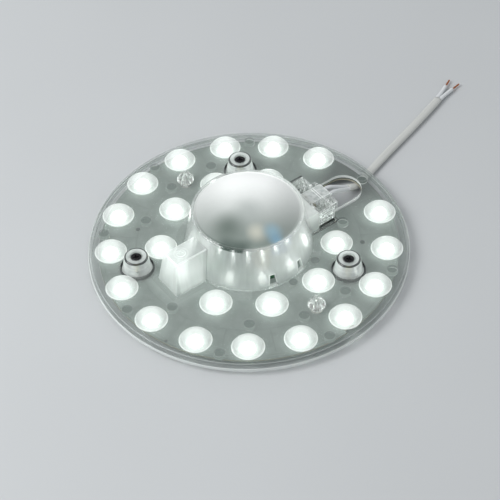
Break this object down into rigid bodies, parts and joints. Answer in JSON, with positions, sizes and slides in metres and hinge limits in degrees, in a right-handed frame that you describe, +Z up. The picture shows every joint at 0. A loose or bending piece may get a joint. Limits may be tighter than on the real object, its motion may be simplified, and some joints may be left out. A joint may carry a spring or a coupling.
{
  "type": "magnetic led module",
  "caption": "Round clear lens plate with dome lenses over a white LED board, a domed driver cover, a terminal block, magnet feet and a supply cord, for refitting a ceiling lamp.",
  "frame": {"origin": "under the centre of the round plate, on the surface that the magnets touch", "axes": "+Z up along the plate's axis, towards the lenses; +X towards the terminal block and the cord; +Y to the left when looking along +X"},
  "size_m": [0.2526, 0.165, 0.0354],
  "materials": {
    "lens_clear": "clear moulded plastic, polished",
    "board_white": "white solder mask, raw tan edges",
    "led_phosphor": "phosphor-filled silicone, lit cool white",
    "cover_clear": "clear moulded plastic, cap frosted",
    "base_white": "white moulded plastic",
    "steel_zinc": "zinc-plated",
    "steel_black": "black oxide",
    "board_green": "green solder mask",
    "sleeve_green": "shrink sleeve, aluminium end",
    "film_beige": "dipped epoxy",
    "varistor_blue": "dipped epoxy",
    "ferrite": "sintered ferrite",
    "coil_tape": "polyester tape over enamelled wire",
    "epoxy_black": "moulded epoxy",
    "resistor_green": "flameproof lacquer",
    "pin_brass": "tinned ends",
    "terminal_clear": "clear moulded plastic",
    "clamp_steel": "tinned spring strip",
    "magnet_nickel": "nickel-plated",
    "post_clear": "clear moulded plastic",
    "clip_clear": "clear moulded plastic",
    "cord_white": "soft extruded sheath",
    "core_white": "soft insulation",
    "copper": "bare stranded copper"
  },
  "bodies": {
    "root": {"lens_plate": "lens_clear", "led_board": "board_white", "leds": "led_phosphor", "driver_cover": "cover_clear", "driver_base": "base_white", "cover_screw": "steel_zinc", "driver_board": "board_green", "bulk_capacitor": "sleeve_green", "film_capacitor": "film_beige", "varistor": "varistor_blue", "transformer_core": "ferrite", "transformer_coil": "coil_tape", "filter_choke": "ferrite", "bridge_rectifier": "epoxy_black", "controller_chip": "epoxy_black", "fuse_resistor": "resistor_green", "output_pins": "pin_brass", "terminal_block": "terminal_clear", "terminal_clamp_left": "clamp_steel", "terminal_clamp_right": "clamp_steel", "magnet_left": "magnet_nickel", "magnet_right": "magnet_nickel", "magnet_rear": "magnet_nickel", "magnet_post_left": "post_clear", "magnet_post_right": "post_clear", "magnet_post_rear": "post_clear", "foot_screws": "steel_black", "board_clips": "clip_clear", "cord_sheath": "cord_white", "core_left": "core_white", "core_right": "core_white", "core_tips": "copper", "end_cores": "core_white", "end_tips": "copper"}
  },
  "joints": []
}
